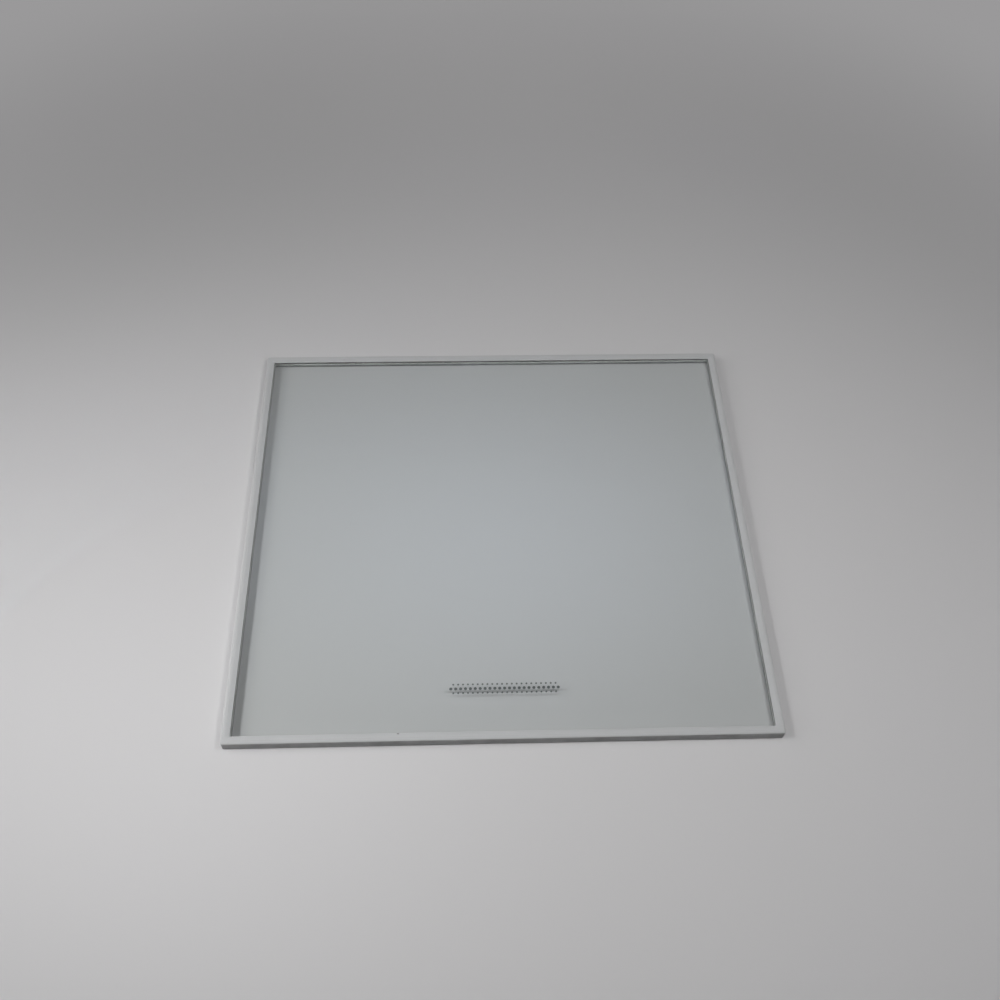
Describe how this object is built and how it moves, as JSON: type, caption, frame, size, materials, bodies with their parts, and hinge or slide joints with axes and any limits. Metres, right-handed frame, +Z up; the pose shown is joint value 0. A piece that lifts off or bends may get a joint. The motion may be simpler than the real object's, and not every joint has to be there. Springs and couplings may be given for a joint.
{
  "type": "refrigerator glass shelf",
  "caption": "Flat rectangular shelf of clear toughened glass in a moulded white plastic edge frame, which rests on the side ledges of a refrigerator and carries food.",
  "frame": {"origin": "middle of the underside, on the plane that the shelf rests on", "axes": "+X to the right along the longer sides, +Y to the rear of the cabinet, +Z up out of the glass"},
  "size_m": [0.45, 0.41, 0.0095],
  "materials": {
    "clear_glass": "clear toughened float glass, faintly green",
    "white_plastic": "moulded off-white plastic, satin"
  },
  "bodies": {
    "root": {"glass_pane": "clear_glass", "edge_frame": "white_plastic"}
  },
  "joints": []
}
